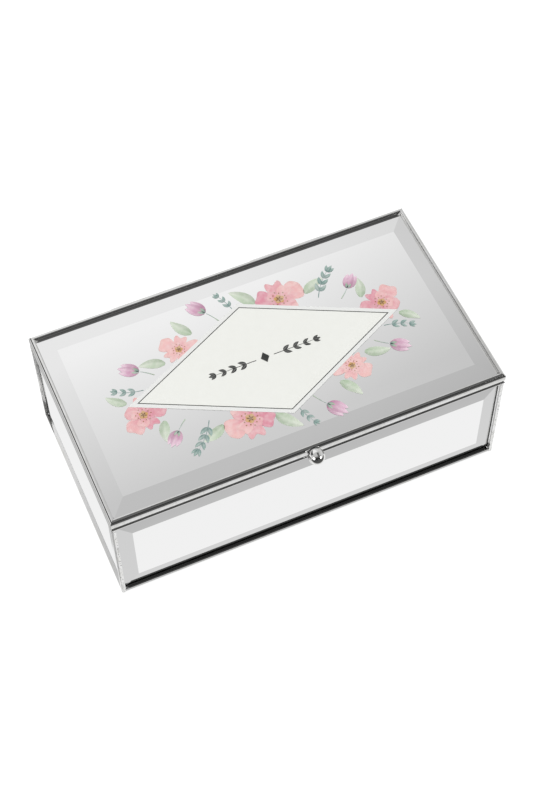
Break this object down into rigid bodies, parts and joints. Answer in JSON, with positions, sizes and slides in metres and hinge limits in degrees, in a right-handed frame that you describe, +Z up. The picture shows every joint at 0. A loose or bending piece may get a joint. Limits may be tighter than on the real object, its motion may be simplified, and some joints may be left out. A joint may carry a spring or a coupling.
{
  "type": "mirrored glass trinket box",
  "caption": "Flat mirrored glass trinket box: soldered metal frame, bevelled mirror panels, hinged lid with a ball knob and printed label, velvet-lined interior.",
  "frame": {"origin": "on the surface that the box stands on, under the centre of the metal frame", "axes": "+X along the long side to the right, -Y towards the front with the knob, +Z up"},
  "size_m": [0.2, 0.1233, 0.0701],
  "materials": {
    "frame": "polished silver-plated channel",
    "mirror": "silvered glass, bevelled and polished",
    "print": "matt printed film",
    "board": "plain grey board",
    "velvet": "short black velvet",
    "felt": "pressed black felt",
    "knob": "bright chrome",
    "hinge": "silver-plated, satin"
  },
  "bodies": {
    "base": {"bottom_rail_front": "frame", "bottom_rail_right": "frame", "bottom_rail_back": "frame", "bottom_rail_left": "frame", "top_rail_front": "frame", "top_rail_right": "frame", "top_rail_back": "frame", "top_rail_left": "frame", "mirror_front": "mirror", "mirror_right": "mirror", "mirror_back": "mirror", "mirror_left": "mirror", "wall_liner_front": "velvet", "wall_liner_right": "velvet", "wall_liner_back": "velvet", "wall_liner_left": "velvet", "corner_post_front_left": "frame", "corner_post_front_right": "frame", "corner_post_back_right": "frame", "corner_post_back_left": "frame", "base_board": "board", "base_pad": "velvet", "base_felt": "felt", "hinge_base_leaf_left": "hinge", "hinge_base_leaf_right": "hinge", "hinge_pin_left": "hinge", "hinge_pin_right": "hinge"},
    "lid": {"lid_rail_front": "frame", "lid_rail_right": "frame", "lid_rail_back": "frame", "lid_rail_left": "frame", "lid_mirror": "mirror", "diamond_label": "print", "lid_board": "board", "lid_liner": "velvet", "knob_ball": "knob", "knob_stud": "knob", "hinge_lid_leaf_left": "hinge", "hinge_lid_leaf_right": "hinge"}
  },
  "joints": [
    {"name": "lid_hinge", "type": "hinge", "parent": "base", "child": "lid", "pos_m": [0, 0.0576, 0.0632], "axis": [-1, 0, 0], "range_deg": [0, 110]}
  ]
}
